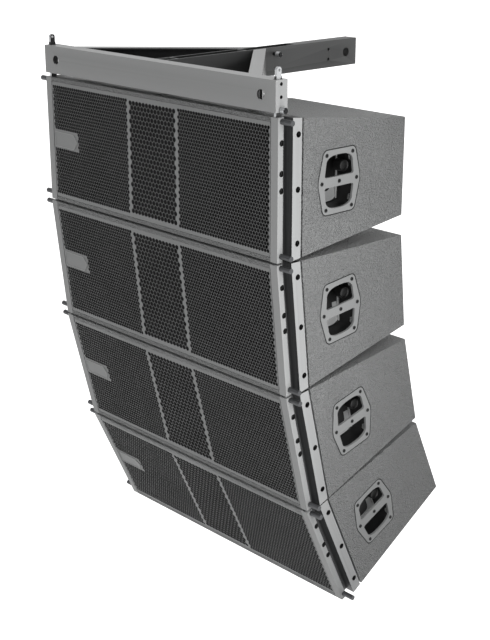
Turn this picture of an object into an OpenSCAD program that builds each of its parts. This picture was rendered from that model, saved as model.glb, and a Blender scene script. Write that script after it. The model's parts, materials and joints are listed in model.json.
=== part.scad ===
// Hanging line array: a fly frame and a string of wedge-shaped loudspeaker cabinets.
// Each cabinet hinges on a pair of front pins and is locked by a curved splay blade at the back.
// Millimetres. +Z is up, the front faces -Y, and the origin is the centre of the spine's rear pick hole.

/* [Cabinet] */
// Overall width across the side panels
box_w = 760; // [740:1:800]
// Width of the front face across the corner rails
front_w = 740; // [730:1:740]
// Height at the front before the edges are relieved
box_h = 283.5; // [278:0.5:300]
// Depth from the front face to the back
box_d = 350; // [345:1:380]
// Slope of the top and of the bottom towards the back, in degrees
wedge_angle = 6.5; // [6.2:0.1:7]
// Thickness of the plywood
wall = 14; // [12:1:15]

/* [Array] */
// Number of cabinets
cab_count = 4; // [1:1:4]
// Angle between each cabinet and the piece above it, in degrees
splay = [0, 6, 7.6, 11]; // [0:0.1:12]

/* [Drivers] */
// Outside diameter of a woofer's frame
woofer_d = 244; // [220:1:244]
// Distance of each woofer from the centre plane
woofer_x = 214; // [205:1:214]
// Half the width of the horn mouth
horn_half = 68; // [50:1:70]

/* [Rigging] */
// Diameter of a hinge pin's head
pin_head_d = 11; // [10:0.5:12]
// Diameter of a hinge pin's shaft
pin_d = 8; // [6:0.5:8]
// Half the distance over the ends of a pair of hinge pins
pin_reach = 398.5; // [390:0.5:405]
// Diameter of the quick-release pins
lock_d = 6.6; // [6:0.1:6.8]
// Thickness of the splay blades
blade_t = 8; // [6:1:8]

/* [Fly frame] */
// Height of the beam, the arms and the spine
frame_h = 60; // [58:1:62]
// Half the length of the front beam over its end plates
beam_half = 366; // [364:1:368]
// Distance from the front face of the cabinets to the back end of the spine
spine_end = 597; // [590:1:620]
// Diameter of the lifting holes
pick_d = 20; // [16:1:22]

/* [Hidden] */
CAB_PARTS = ["enclosure", "baffle", "grille", "rails", "hinge_set", "handles", "screws", "woofers", "cones",
    "horn", "rear_rigging", "splay_pin", "input_plate"];
FRAME_PARTS = ["front_beam", "link_bars", "spine", "diagonal_arms", "frame_blade", "left_frame_pin",
    "right_frame_pin", "spine_pin"];
$fn = 48;

play = 0.05;          // radial running clearance of a pin in its bore
slack = 0.2;          // radial clearance of a quick-release pin
relief = 2.3;         // how far the front edges stand back from the wedge's corner
gap_close = 0.8;      // how much nearer the cabinets hang than their corners alone would allow
mid_z = -box_h / 2;
relief_y = relief / tan(wedge_angle);

// hinge axis, in the frame of the cabinet below it
pin_y = 10;
pin_top_z = -9.5;
pin_low_z = -box_h + 15;
next_pin_z = -box_h + gap_close + pin_top_z;

// corner rails
rail_in = 351;
rail_out = front_w / 2;
panel_x = box_w / 2;
post_d = 18;
channel_x = 357;
flange_y = 29;
rail_end = 53;
panel_start = 57.5;
slot_a = 354;
slot_b = 361;
link_t = 6;
link_in = 354.5;
link_r = 7;
post_holes = [-50, -108, -141];
flange_holes = [-105.5, 0, 105.5];
flange_hole_y = 44;
hole_d = 12;

// grille, baffle and drivers
lip = 8.7;
seam = 0.5;
grille_t = 1.5;
foam_t = 5;
baffle_y = 30;
baffle_t = 18;
cone_r = 92;
coil_r = 25;
motor_y = 99;

// handles
handle_y = 158;
handle_half = [58, 42, 63.5];
finger = [[26, 46], [33, 20.5]];
finger_r = 8;
cup_depth = 52;
grip_h = 25;
handle_screws = [[-36.5, 54], [36.5, 54], [49.5, 0], [36.5, -54], [-36.5, -54], [-49, 0], [0, 0]];

// rear rigging
blade_r = 328;
blade_w = 18;
blade_low = -11;
lock_angle = -9;
max_splay = 12;
max_tilt = 6;
end_play = 0.65;
tray_half = 60;
tray_y = 295;
steel = 3;
cheek_t = 4;

// cable sockets
socket_x = [172, 218];
socket_d = 26;

// fly frame
frame_z = 7;
frame_top = frame_z + frame_h;
beam_y = -3;
beam_back = 28;
plate_t = 5;
web_t = 4;
spine_half = 17;
pick_y = 563;
pick_z = frame_z + frame_h / 2;
arm_foot = 267;
arm_w = 27;
spine_pin_angle = 11;
spine_hole_angle = 5.3;
pin_row = [11, 35, 59];
pick_x = 326;
bar_y = 11.5;         // centre of the link bars
bar_w = 14;
bar_slot = 350;
eye_z = 84;
eye_r = 6;
eye_hole_d = 5;
cover_y = 400;        // the spine is closed above and below behind this
web_y = [60, 250];
small_hole_y = 505;
small_hole_dz = 11;
small_hole_d = 7;
pin_grip = 11;        // how far the head of a quick-release pin stands out

steel_grey = "#b8b8b8";
frame_grey = "#7d7f7e";
paint_grey = "#6f7070";
dark = "#232525";
alloy = "#a0a0a0";

// ---------- places ----------
function edge(y) = max(relief, y * tan(wedge_angle));
function step(s) = [[1, 0, 0, 0],
    [0, cos(s), -sin(s), pin_y - cos(s) * pin_y + sin(s) * pin_top_z],
    [0, sin(s), cos(s), next_pin_z - sin(s) * pin_y - cos(s) * pin_top_z], [0, 0, 0, 1]];
function pose(k) = k == 1 ? tilt_about_pin(splay[0]) : pose(k - 1) * step(splay[k - 1]);
function tilt_about_pin(s) = [[1, 0, 0, 0],
    [0, cos(s), -sin(s), pin_y - cos(s) * pin_y + sin(s) * pin_top_z],
    [0, sin(s), cos(s), pin_top_z - sin(s) * pin_y - cos(s) * pin_top_z], [0, 0, 0, 1]];
function on_arc(a, z0) = [pin_y + blade_r * cos(a), z0 + blade_r * sin(a)];

module rig() {
    translate([0, -pick_y, -pick_z]) children();
}
module in_cab(k) {
    rig() multmatrix(pose(k)) children();
}
module both_sides() {
    children();
    mirror([1, 0, 0]) children();
}

// ---------- shared shapes ----------
// side profile of the wedge, inset at the top and bottom, between two depths
module wedge_2d(y0, y1, inset) {
    ys = [for (y = [y0, relief_y, y1]) if (y >= y0 && y <= y1) y];
    polygon(concat([for (y = ys) [y, -edge(y) - inset]],
        [for (i = [len(ys) - 1:-1:0]) [ys[i], -box_h + edge(ys[i]) + inset]]));
}
// extrudes a shape drawn in Y and Z along X
module along_x(x0, x1) {
    translate([x0, 0, 0]) rotate([90, 0, 90]) linear_extrude(x1 - x0) children();
}
module wedge_solid(x0, x1, y0, y1, inset) {
    along_x(x0, x1) wedge_2d(y0, y1, inset);
}
module rod_x(x0, x1, y, z, d) {
    translate([x0, y, z]) rotate([0, 90, 0]) cylinder(d = d, h = x1 - x0);
}
module rod_y(x, y0, y1, z, d) {
    translate([x, y1, z]) rotate([90, 0, 0]) cylinder(d = d, h = y1 - y0);
}
module block(a, b) {
    translate(a) cube(b - a);
}
// band of width w that curves about the pin height z0, between two angles
module arc_2d(z0, a0, a1, w) {
    n = 24;
    function ring(r, i) = let (a = a0 + (a1 - a0) * i / n) [pin_y + r * cos(a), z0 + r * sin(a)];
    polygon(concat([for (i = [0:n]) ring(blade_r - w / 2, i)], [for (i = [n:-1:0]) ring(blade_r + w / 2, i)]));
}
// splay blade with the slot that the cabinet's lock pin runs in
module blade(z0, top_angle, travel) difference() {
    along_x(-blade_t / 2, blade_t / 2) arc_2d(z0, blade_low, top_angle, blade_w);
    along_x(-blade_t, blade_t)
        arc_2d(z0, lock_angle - end_play, lock_angle + travel + end_play, lock_d + 2 * slack);
}
module lock_hole(p, w) {
    rod_x(-w / 2 - 1, w / 2 + 1, p[0], p[1], lock_d + 2 * slack);
}
// quick-release pin along X with a grooved head and a push button
module release_pin(x0, x1, p, head) {
    rod_x(x0, x1 + 1, p[0], p[1], lock_d);
    difference() {
        rod_x(x1, x1 + head, p[0], p[1], 12.5);
        rod_x(x1 + head - 2, x1 + head + 1, p[0], p[1], 8);
    }
    rod_x(x1 + head - 3, x1 + head + 0.6, p[0], p[1], 4.5);
}

// ---------- fly frame ----------
// channel with its open side to the back, closed by a plate at each end
module front_beam() rig() color(frame_grey) difference() {
    block([-beam_half, beam_y, frame_z], [beam_half, beam_back, frame_top]);
    block([-beam_half + plate_t, beam_y + web_t, frame_z + web_t],
        [beam_half - plate_t, beam_back + 1, frame_top - web_t]);
    for (s = [-1, 1]) rod_y(s * pick_x, beam_y - 1, beam_y + web_t + 1, pick_z, pick_d);
    both_sides() {
        // slots in the flanges for the link bars and the tips of their pins
        block([bar_slot, bar_y - 8, frame_z - 1], [beam_half - plate_t, bar_y + 8, frame_top + 1]);
        for (z = pin_row)
            rod_x(beam_half - plate_t - 1, beam_half + 1, bar_y, z, lock_d + 2 * slack);
    }
}

module link_bar() difference() {
    union() {
        along_x(link_in, link_in + link_t) hull() {
            translate([pin_y, pin_top_z]) circle(link_r);
            translate([bar_y, 6]) square([bar_w, 6], center = true);
        }
        along_x(link_in, link_in + link_t) translate([bar_y - bar_w / 2, 3]) square([bar_w, frame_top + 3]);
        along_x(link_in, link_in + link_t) hull() {
            translate([bar_y - eye_r, frame_top + 5]) square([2 * eye_r, 1]);
            translate([bar_y, eye_z]) circle(eye_r);
        }
    }
    rod_x(link_in - 1, link_in + link_t + 1, pin_y, pin_top_z, pin_d + 2 * play);
    rod_x(link_in - 1, link_in + link_t + 1, bar_y, eye_z, eye_hole_d);
    for (z = pin_row) rod_x(link_in - 1, link_in + link_t + 1, bar_y, z, lock_d + 2 * slack);
}
module link_bars() rig() color(steel_grey) both_sides() link_bar();

// two side walls with cross webs, closed above and below behind the splay blade
module spine() rig() color(paint_grey) difference() {
    union() {
        both_sides() block([spine_half - web_t, beam_y + web_t, frame_z], [spine_half, spine_end, frame_top]);
        for (z = [frame_z, frame_top - web_t])
            block([-spine_half + web_t - 1, cover_y, z], [spine_half - web_t + 1, spine_end, z + web_t]);
        for (y = web_y)
            block([-spine_half + web_t - 1, y, frame_z], [spine_half - web_t + 1, y + plate_t, frame_top]);
        rod_x(-spine_half, spine_half, pick_y, pick_z, pick_d + 14);
    }
    // the front end fits between the flanges of the beam
    for (z = [frame_z - 1, frame_top - web_t])
        block([-spine_half - 1, beam_y, z], [spine_half + 1, beam_back, z + web_t + 1]);
    rod_x(-spine_half - 1, spine_half + 1, pick_y, pick_z, pick_d);
    for (dz = [-small_hole_dz, small_hole_dz])
        rod_x(-spine_half - 1, spine_half + 1, small_hole_y, pick_z + dz, small_hole_d);
    for (a = [spine_pin_angle, spine_hole_angle]) lock_hole(on_arc(a, pin_top_z), 2 * spine_half);
}

// channel arm at 45 degrees from the beam to the spine, open towards the front
module diagonal_arm() intersection() {
    block([spine_half, beam_back, frame_z], [beam_half, spine_end, frame_top]);
    translate([arm_foot, 40, frame_z]) rotate([0, 0, 135]) translate([-150, -arm_w / 2, 0]) difference() {
        cube([700, arm_w, frame_h]);
        translate([-1, web_t, web_t]) cube([702, arm_w, frame_h - 2 * web_t]);
    }
}
module diagonal_arms() rig() color(paint_grey) both_sides() diagonal_arm();

module frame_blade() rig() color(steel_grey) difference() {
    union() {
        blade(pin_top_z, 12.6, max_tilt);
        for (a = [spine_pin_angle, spine_hole_angle]) {
            p = on_arc(a, pin_top_z);
            rod_x(-spine_half + web_t + 0.5, spine_half - web_t - 0.5, p[0], p[1], 14);
        }
    }
    for (a = [spine_pin_angle, spine_hole_angle]) lock_hole(on_arc(a, pin_top_z), 2 * spine_half);
}

module right_frame_pin() rig() color(steel_grey)
    release_pin(link_in - 4, beam_half + 1, [bar_y, pin_row[0]], pin_grip);
module left_frame_pin() rig() color(steel_grey)
    mirror([1, 0, 0]) release_pin(link_in - 4, beam_half + 1, [bar_y, pin_row[0]], pin_grip);
module spine_pin() rig() color(steel_grey)
    release_pin(-spine_half - 4, spine_half + 10, on_arc(spine_pin_angle, pin_top_z), pin_grip);

// ---------- cabinet ----------
module enclosure() color(paint_grey) difference() {
    union() {
        wedge_solid(-panel_x, panel_x, panel_start, box_d, 0);
        wedge_solid(-rail_in, rail_in, 0, box_d, 0);
    }
    // inside, narrower in front where the rails are, and kept clear of the rear tray
    difference() {
        union() {
            wedge_solid(-rail_in + wall, rail_in - wall, -1, panel_start + wall + 1, wall);
            wedge_solid(-panel_x + wall, panel_x - wall, panel_start + wall, box_d - wall, wall);
        }
        block([-tray_half - wall, tray_y - wall, -box_h], [tray_half + wall, box_d, 0]);
    }
    // rebate for the grille
    wedge_solid(-rail_in - 1, rail_in + 1, -1, grille_t + foam_t + 1, lip);
    // slot for the rear tray
    block([-tray_half, tray_y, -box_h], [tray_half, box_d + 1, 0]);
    // hand holes and the opening for the input plate
    both_sides() translate([0, handle_y, mid_z]) {
        along_x(panel_x - wall - 1, panel_x) cup_outline(3.5);
        along_x(panel_x - 4, panel_x + 1) handle_outline(0.6);
    }
    block([140, box_d - wall - 1, mid_z - 35], [250, box_d + 1, mid_z + 35]);
    block([130, box_d - 3, mid_z - 45], [260, box_d + 1, mid_z + 45]);
}

module baffle() color("#3a3128") difference() {
    wedge_solid(-rail_in + wall, rail_in - wall, baffle_y, baffle_y + baffle_t, wall);
    for (s = [-1, 1]) rod_y(s * woofer_x, baffle_y - 1, baffle_y + baffle_t + 1, mid_z, woofer_d - 20);
    block([-horn_half - 2, baffle_y - 1, mid_z - 106], [horn_half + 2, baffle_y + baffle_t + 1, mid_z + 106]);
}

// perforated steel sheet, drawn here without its holes, with the foam behind it
module grille() {
    color("#575858") block([-rail_in + 1.5, seam, -box_h + relief + lip + seam],
        [rail_in - 1.5, seam + grille_t, -relief - lip - seam]);
    color(dark) block([-rail_in + wall + 1, seam + grille_t, -box_h + relief + wall + 2],
        [rail_in - wall - 1, seam + grille_t + foam_t, -relief - wall - 2]);
}

// cross-section of the right-hand corner rail, looking down
module rail_2d() {
    r = 6;
    polygon(concat([[rail_in, 0], [rail_out, 0], [rail_out, post_d - r]],
        [for (a = [15:15:90]) [rail_out - r + r * cos(a), post_d - r + r * sin(a)]],
        [[channel_x, post_d], [channel_x, flange_y], [panel_x, flange_y], [panel_x, rail_end],
         [rail_in, rail_end]]));
}
module rail() difference() {
    intersection() {
        translate([0, 0, -box_h]) linear_extrude(box_h) rail_2d();
        wedge_solid(rail_in, panel_x, 0, rail_end, 0);
    }
    // hollow behind the rear flange
    block([channel_x, flange_y + 4, -box_h + 16], [panel_x - 4, rail_end - 4, -16]);
    // slots for the hinge links
    block([slot_a, 2.5, -19.5], [slot_b, post_d + 1, 1]);
    block([slot_a, 2.5, -box_h - 1], [slot_b, post_d + 1, pin_low_z + 9]);
    for (z = [pin_top_z, pin_low_z]) rod_x(rail_in - 1, rail_out + 1, pin_y, z, pin_d + 2 * play);
    for (z = post_holes) rod_x(rail_out - 8, rail_out + 1, pin_y, z, hole_d);
    for (z = flange_holes) rod_x(panel_x - 5, panel_x + 1, flange_hole_y, mid_z + z, hole_d);
}
module rails() color(steel_grey) both_sides() rail();

module hinge_pin(z) {
    rod_x(rail_in + 0.5, rail_out + 1, pin_y, z, pin_d);
    rod_x(rail_out + 0.1, pin_reach, pin_y, z, pin_head_d);
}
// link plate from this cabinet's bottom pin to the next cabinet's top pin
module link_plate() difference() {
    along_x(link_in, link_in + link_t) hull() {
        for (z = [pin_low_z, next_pin_z]) translate([pin_y, z]) circle(link_r);
    }
    for (z = [pin_low_z, next_pin_z]) rod_x(link_in - 1, link_in + link_t + 1, pin_y, z, pin_d + 2 * play);
}
module hinge_set(last) color(alloy) both_sides() {
    hinge_pin(pin_top_z);
    hinge_pin(pin_low_z);
    if (!last) link_plate();
}

// outline of a handle's face plate, with a margin around it
module handle_outline(m) {
    r = 9;
    w = handle_half[0];
    c = handle_half[1];
    h = handle_half[2];
    offset(r = r + m, $fn = 32) offset(delta = -r) polygon([[-w, 0], [-c, -h], [c, -h], [w, 0], [c, h], [-c, h]]);
}
// one of the two finger openings: s is 1 for the upper and -1 for the lower
module finger_outline(s) {
    offset(r = finger_r, $fn = 32) polygon([[-finger[0][0], s * finger[0][1]], [finger[0][0], s * finger[0][1]],
        [finger[1][0], s * finger[1][1]], [-finger[1][0], s * finger[1][1]]]);
}
// the closed cup behind the face plate runs round both openings
module cup_outline(m) {
    offset(r = finger_r + m, $fn = 32) polygon([for (p = [[-1, 1, 0], [-1, 1, 1], [-1, -1, 1], [-1, -1, 0],
        [1, -1, 0], [1, -1, 1], [1, 1, 1], [1, 1, 0]]) [p[0] * finger[p[2]][0], p[1] * finger[p[2]][1]]]);
}
module handle() translate([0, handle_y, mid_z]) difference() {
    union() {
        along_x(panel_x - 4, panel_x + 0.5) handle_outline(0);
        along_x(panel_x - cup_depth, panel_x - 3) cup_outline(3);
    }
    difference() {
        along_x(panel_x - cup_depth + 3, panel_x - 4) cup_outline(0.5);
        // back of the grip bar, rounded for the hand
        rod_y(panel_x - 10, -handle_half[0], handle_half[0], 0, grip_h - 3);
    }
    for (s = [-1, 1]) along_x(panel_x - 5, panel_x + 1) finger_outline(s);
    for (p = handle_screws) rod_x(panel_x - 5, panel_x + 1, p[0], p[1], 5);
}
module handles() color(alloy) both_sides() handle();

// socket screw along X, its head at x
module screw(x, y, z, head, shank) difference() {
    union() {
        rod_x(x - head / 2, x, y, z, head);
        rod_x(x - shank, x - head / 2 + 0.5, y, z, head / 2);
    }
    translate([x - 2, y, z]) rotate([0, 90, 0]) cylinder(d = head / 2, h = 4, $fn = 6);
}
module screws() color("#4a4b4b") both_sides() {
    for (p = handle_screws) screw(panel_x + 1.4, handle_y + p[0], mid_z + p[1], 7.6, 12);
    for (z = flange_holes) screw(channel_x + 5, flange_hole_y, mid_z + z, 10, 16);
    for (z = post_holes) screw(rail_out - 3.5, pin_y, z, 9, 10);
}

// woofer frame and motor, turned about its own axis
module driver_turn(s) {
    translate([s * woofer_x, 0, mid_z]) rotate([-90, 0, 0]) rotate_extrude($fn = 64) children();
}
module woofer(s) {
    r = woofer_d / 2;
    difference() {
        driver_turn(s) {
            polygon([[r - 13.5, baffle_y - 5], [r, baffle_y - 5], [r, baffle_y], [r - 10.5, baffle_y],
                [r - 10.5, baffle_y + baffle_t + 3], [75, motor_y - 9], [75, motor_y], [30, motor_y],
                [30, motor_y - 4], [68, motor_y - 4], [68, motor_y - 11], [r - 13.5, baffle_y + baffle_t + 2]]);
        }
        for (a = [0:60:300]) translate([s * woofer_x, 0, mid_z]) rotate([0, a, 0])
            block([70, baffle_y + baffle_t + 5, -26], [r, motor_y - 14, 26]);
    }
    driver_turn(s) polygon([[27.5, motor_y], [75, motor_y], [75, motor_y + 39], [6, motor_y + 39],
        [6, motor_y - 4], [23.5, motor_y - 4], [23.5, motor_y + 31], [27.5, motor_y + 31]]);
}
module woofers() color("#5b5d5f") for (s = [-1, 1]) woofer(s);

// cone with its roll surround, dust cap and voice coil
module cone(s) driver_turn(s) {
    n = 8;
    top = baffle_y + 1;
    deep = baffle_y + 42;
    roll = 6.5;
    polygon(concat([[0, deep - 14]],
        [for (i = [1:n]) let (a = 90 * i / n) [28 * sin(a), deep - 4 - 10 * cos(a)]],
        [[cone_r, top], [cone_r + 1, top - 1]],
        [for (i = [0:n]) let (a = 180 - 180 * i / n)
            [cone_r + 8 + roll * cos(a), top - 2 - roll * sin(a)]],
        [[cone_r + 15, top - 2], [cone_r + 15, top], [cone_r + 13, top]],
        [for (i = [0:n]) let (a = 180 * i / n)
            [cone_r + 8 + (roll - 1.5) * cos(a), top - 0.5 - (roll - 1.5) * sin(a)]],
        [[cone_r, top + 2], [coil_r + 1.3, deep + 2], [coil_r + 1.3, motor_y + 20], [coil_r - 0.7, motor_y + 20],
         [coil_r - 0.7, deep - 2.5], [20, deep - 9.5], [0, deep - 12.2]]));
}
module cones() color("#2b2b2b") for (s = [-1, 1]) cone(s);

// slab in X and Z at a depth, used to build the horn flare
module slab(y, hx, hz) {
    translate([-hx, y, mid_z - hz]) cube([2 * hx, 0.5, 2 * hz]);
}
module horn() {
    throat_y = 120;
    color("#303132") difference() {
        union() {
            hull() {
                slab(baffle_y - 3, horn_half, 104);
                slab(throat_y, 17, 96);
            }
            block([-horn_half - 12, baffle_y - 3, mid_z - 114], [horn_half + 12, baffle_y, mid_z + 114]);
            hull() {
                slab(throat_y - 1, 17, 96);
                slab(throat_y + 40, 30, 30);
            }
        }
        hull() {
            slab(baffle_y - 4, horn_half - 3, 101);
            slab(throat_y, 12, 93);
        }
        hull() {
            slab(throat_y - 1, 12, 93);
            slab(throat_y + 41, 18, 18);
        }
    }
    color("#8c8e90") {
        rod_y(0, throat_y + 40.6, throat_y + 90, mid_z, 108);
        rod_y(0, throat_y + 90, throat_y + 98, mid_z, 84);
    }
}

// steel tray let into the back, with two cheeks that guide the splay blades
module rear_tray() difference() {
    intersection() {
        wedge_solid(-tray_half, tray_half, tray_y, box_d, 0);
        union() {
            block([-tray_half, tray_y, -box_h], [tray_half, tray_y + steel, 0]);
            for (s = [-1, 1]) {
                block([s * (tray_half - steel / 2) - steel / 2, tray_y, -box_h],
                    [s * (tray_half - steel / 2) + steel / 2, box_d, 0]);
                block([s * (blade_t / 2 + 1 + cheek_t / 2) - cheek_t / 2, tray_y, -box_h],
                    [s * (blade_t / 2 + 1 + cheek_t / 2) + cheek_t / 2, box_d - 2, 0]);
            }
        }
    }
    lock_hole(on_arc(lock_angle, pin_top_z), 24);
}
// the tray, and on all but the lowest cabinet the splay blade with the spacers that hold it in the cheeks
module rear_rigging(last) {
    color(paint_grey) rear_tray();
    if (!last) color(steel_grey) {
        blade(next_pin_z, 15, max_splay);
        for (a = [10.5, 13.5]) {
            p = on_arc(a, next_pin_z);
            both_sides() rod_x(blade_t / 2, blade_t / 2 + 1, p[0], p[1], 12);
        }
    }
}
module splay_pin() color(steel_grey)
    release_pin(-12, 13, on_arc(lock_angle, pin_top_z), 11);

// plate with two round cable sockets
module input_plate() {
    color(dark) difference() {
        union() {
            block([131, box_d - 2.5, mid_z - 44], [259, box_d, mid_z + 44]);
            for (x = socket_x) rod_y(x, box_d - 22, box_d - 2, mid_z, socket_d + 6);
        }
        for (x = socket_x) rod_y(x, box_d - 18, box_d + 1, mid_z, socket_d);
    }
}

front_beam();
link_bars();
spine();
diagonal_arms();
frame_blade();
left_frame_pin();
right_frame_pin();
spine_pin();
for (k = [1:cab_count]) {
    last = k == cab_count;
    in_cab(k) enclosure();
    in_cab(k) baffle();
    in_cab(k) grille();
    in_cab(k) rails();
    in_cab(k) hinge_set(last);
    in_cab(k) handles();
    in_cab(k) screws();
    in_cab(k) woofers();
    in_cab(k) cones();
    in_cab(k) horn();
    in_cab(k) rear_rigging(last);
    in_cab(k) splay_pin();
    in_cab(k) input_plate();
}
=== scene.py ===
"""The finished look of a hanging line array: a lifting frame over four wedge-shaped loudspeaker cabinets.

Every piece is built in metres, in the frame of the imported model, with its place in its mesh.
"""

import json
import logging
import math
from collections.abc import Callable, Sequence
from dataclasses import dataclass, field, replace
from enum import Enum

import bmesh
import bpy
import numpy as np
from mathutils import Matrix, Vector
from mathutils.geometry import delaunay_2d_cdt


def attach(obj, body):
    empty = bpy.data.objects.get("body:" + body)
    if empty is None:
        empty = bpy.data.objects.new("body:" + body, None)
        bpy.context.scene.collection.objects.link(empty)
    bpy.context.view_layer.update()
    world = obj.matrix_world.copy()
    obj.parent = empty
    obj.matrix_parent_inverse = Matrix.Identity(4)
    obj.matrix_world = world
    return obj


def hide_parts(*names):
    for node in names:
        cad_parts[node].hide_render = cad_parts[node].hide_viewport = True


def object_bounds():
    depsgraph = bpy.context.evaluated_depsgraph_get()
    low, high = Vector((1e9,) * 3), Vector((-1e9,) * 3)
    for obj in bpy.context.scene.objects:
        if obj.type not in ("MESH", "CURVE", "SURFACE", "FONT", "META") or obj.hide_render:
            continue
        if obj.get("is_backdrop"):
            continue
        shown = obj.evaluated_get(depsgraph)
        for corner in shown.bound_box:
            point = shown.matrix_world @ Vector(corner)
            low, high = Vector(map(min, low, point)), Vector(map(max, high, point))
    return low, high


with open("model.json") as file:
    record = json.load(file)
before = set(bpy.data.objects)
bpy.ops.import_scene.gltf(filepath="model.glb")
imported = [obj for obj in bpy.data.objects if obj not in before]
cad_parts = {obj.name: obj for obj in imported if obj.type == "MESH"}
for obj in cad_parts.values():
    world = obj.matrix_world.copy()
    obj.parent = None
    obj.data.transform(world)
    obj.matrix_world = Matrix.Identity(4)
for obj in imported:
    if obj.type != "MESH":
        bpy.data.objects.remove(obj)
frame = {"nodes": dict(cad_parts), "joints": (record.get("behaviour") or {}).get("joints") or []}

log = logging.getLogger("line_array")
MM = 0.001
# Turns up to these many degrees are shaded as one surface: on new pieces, and on copies of CAD nodes
BLEND_NEW, BLEND_CAD = 35, 32
# A new piece's edges are rounded where they turn by more than this
ROUND_NEW = 40
# One noise seldom leaves the first range, and the sum of two seldom leaves the second
NOISE_ONE, NOISE_TWO = (0.3, 0.7), (0.65, 1.35)
# Pointiness is 0.5 on a flat face: an edge goes from whole to rubbed between these
EDGE_TURN = (0.505, 0.56)
# How many times longer than wide a streak of painted reflection is
STREAK_STRETCH = 80

Shape = tuple[np.ndarray, list]


# ---------------------------------------------------------------- colour and nodes


def linear(code: str) -> tuple[float, float, float, float]:
    """Turns an sRGB hex colour into linear light.

    Args:
        code: six hex digits, with or without a leading #.

    Returns:
        Red, green, blue and alpha in linear light.
    """
    code = code.lstrip("#")
    parts = [int(code[i : i + 2], 16) / 255 for i in (0, 2, 4)]
    lin = [c / 12.92 if c <= 0.04045 else ((c + 0.055) / 1.055) ** 2.4 for c in parts]
    return (*lin, 1.0)


def add_node(tree: bpy.types.NodeTree, kind: str, links: dict | None = None, **settings) -> bpy.types.Node:
    """Adds a shader node, sets it up and links its inputs.

    Args:
        tree: the material's node tree.
        kind: the node's type name.
        links: input name or index to an output socket, or to a constant value.
        settings: the node's own properties.

    Returns:
        The new node.
    """
    node = tree.nodes.new(kind)
    for name, value in settings.items():
        setattr(node, name, value)
    for key, value in (links or {}).items():
        if isinstance(value, bpy.types.NodeSocket):
            tree.links.new(value, node.inputs[key])
        else:
            node.inputs[key].default_value = value
    return node


class Grain(Enum):
    """How a finish's colour and relief vary over the surface."""

    SPECKLE = "speckle"
    ORANGE_PEEL = "orange peel"
    STREAKS = "streaks"


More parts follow.
